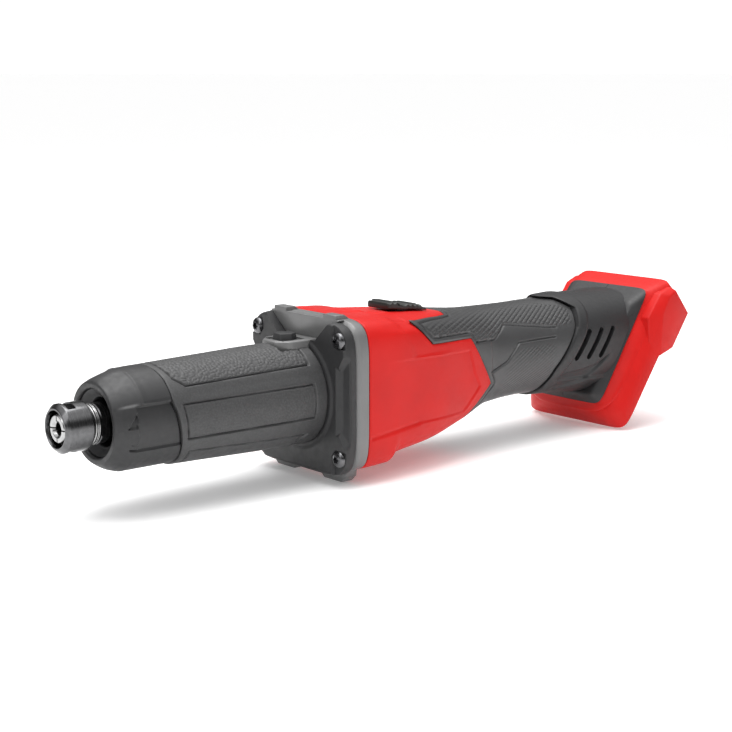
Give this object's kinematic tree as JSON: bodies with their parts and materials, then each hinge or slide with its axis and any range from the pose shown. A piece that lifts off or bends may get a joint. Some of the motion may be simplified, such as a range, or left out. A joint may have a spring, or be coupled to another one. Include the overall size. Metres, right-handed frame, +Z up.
{
  "type": "die grinder",
  "caption": "Cordless straight die grinder with a collet spindle, a round barrel grip, a motor housing with slide switch, a slim rubber handle and a tilted battery foot.",
  "frame": {"origin": "bottom centre of the bounding box; the spindle axis is 45 mm above it", "axes": "+X runs from the collet back to the battery foot, +Z is up, Y is across and y = 0 is the plane of symmetry"},
  "size_m": [0.4042, 0.082, 0.087],
  "materials": {
    "red_nylon": "satin moulded nylon",
    "black_nylon": "fine textured nylon",
    "rubber": "soft overmould, diamond and grain texture",
    "cast_grey": "die cast, painted satin grey",
    "dark_steel": "black oxide, satin",
    "bright_steel": "ground and polished",
    "bearing_steel": "ground",
    "aluminium": "machined",
    "lamination": "stacked sheet steel",
    "copper": "enamelled wire",
    "brass": "bright strip",
    "circuit_board": "lacquered board",
    "potting": "cast resin",
    "wire_red": "silicone insulation",
    "wire_white": "silicone insulation",
    "wire_blue": "silicone insulation",
    "white_nylon": "natural nylon"
  },
  "bodies": {
    "housing": {"spindle_front_bearing_outer_race": "bearing_steel", "spindle_rear_bearing_outer_race": "bearing_steel", "dust_seal": "black_nylon", "nose_cap": "black_nylon", "spindle_tube": "aluminium", "grip_sleeve": "rubber", "front_flange": "black_nylon", "front_housing": "cast_grey", "flange_screw_1": "dark_steel", "flange_screw_2": "dark_steel", "flange_screw_3": "dark_steel", "flange_screw_4": "dark_steel", "lock_spring": "bright_steel", "rotor_front_bearing_outer_race": "bearing_steel", "rotor_rear_bearing_outer_race": "bearing_steel", "stator_core": "lamination", "stator_windings": "copper", "hall_sensor_board": "circuit_board", "bearing_holder": "black_nylon", "motor_housing": "red_nylon", "handle_left": "black_nylon", "handle_right": "black_nylon", "handle_overmold": "rubber", "handle_screw_1": "dark_steel", "handle_screw_2": "dark_steel", "handle_screw_3": "dark_steel", "handle_screw_4": "dark_steel", "switch_module": "potting", "switch_spring": "bright_steel", "control_module": "potting", "heat_sink": "aluminium", "motor_lead_1": "wire_red", "motor_lead_2": "wire_white", "motor_lead_3": "wire_blue", "battery_lead_positive": "wire_red", "battery_lead_negative": "potting", "battery_foot": "red_nylon", "terminal_block": "black_nylon", "terminal_blade_positive": "brass", "terminal_blade_negative": "brass"},
    "spindle_assembly": {"spindle": "dark_steel", "spindle_collar": "bright_steel", "collet": "bright_steel", "spindle_front_bearing_inner_race": "bearing_steel", "spindle_rear_bearing_inner_race": "bearing_steel", "rotor_front_bearing_inner_race": "bearing_steel", "rotor_rear_bearing_inner_race": "bearing_steel", "drive_coupling": "dark_steel", "rotor_shaft": "bright_steel", "rotor_core": "lamination", "cooling_fan": "black_nylon"},
    "collet_nut": {"collet_nut": "dark_steel"},
    "bearing_balls": {"spindle_front_bearing_balls": "bearing_steel", "spindle_rear_bearing_balls": "bearing_steel", "rotor_front_bearing_balls": "bearing_steel", "rotor_rear_bearing_balls": "bearing_steel"},
    "switch": {"switch_slider": "black_nylon", "switch_link": "white_nylon"},
    "spindle_lock": {"lock_button": "black_nylon", "lock_pin": "bright_steel"}
  },
  "joints": [
    {"name": "spindle_spin", "type": "hinge", "parent": "housing", "child": "spindle_assembly", "pos_m": [-0.1, 0, 0.045], "axis": [1, 0, 0], "continuous": true},
    {"name": "collet_nut_turn", "type": "hinge", "parent": "spindle_assembly", "child": "collet_nut", "pos_m": [-0.195, 0, 0.045], "axis": [-1, 0, 0], "range_deg": [0, 180]},
    {"name": "bearing_balls_spin", "type": "hinge", "parent": "housing", "child": "bearing_balls", "pos_m": [-0.1, 0, 0.045], "axis": [1, 0, 0], "continuous": true},
    {"name": "switch_slide", "type": "slide", "parent": "housing", "child": "switch", "axis": [-0.9954, 0, 0.0962], "range_m": [0, 0.007], "stiffness_N_per_m": 300, "springref_m": -0.002, "deforming": ["switch_spring"]},
    {"name": "spindle_lock_press", "type": "slide", "parent": "housing", "child": "spindle_lock", "axis": [0, 0, -1], "range_m": [0, 0.003], "stiffness_N_per_m": 600, "springref_m": -0.003, "deforming": ["lock_spring"]}
  ],
  "couplings": [
    {"joint": "bearing_balls_spin", "follows": "spindle_spin", "ratio": 0.39}
  ]
}
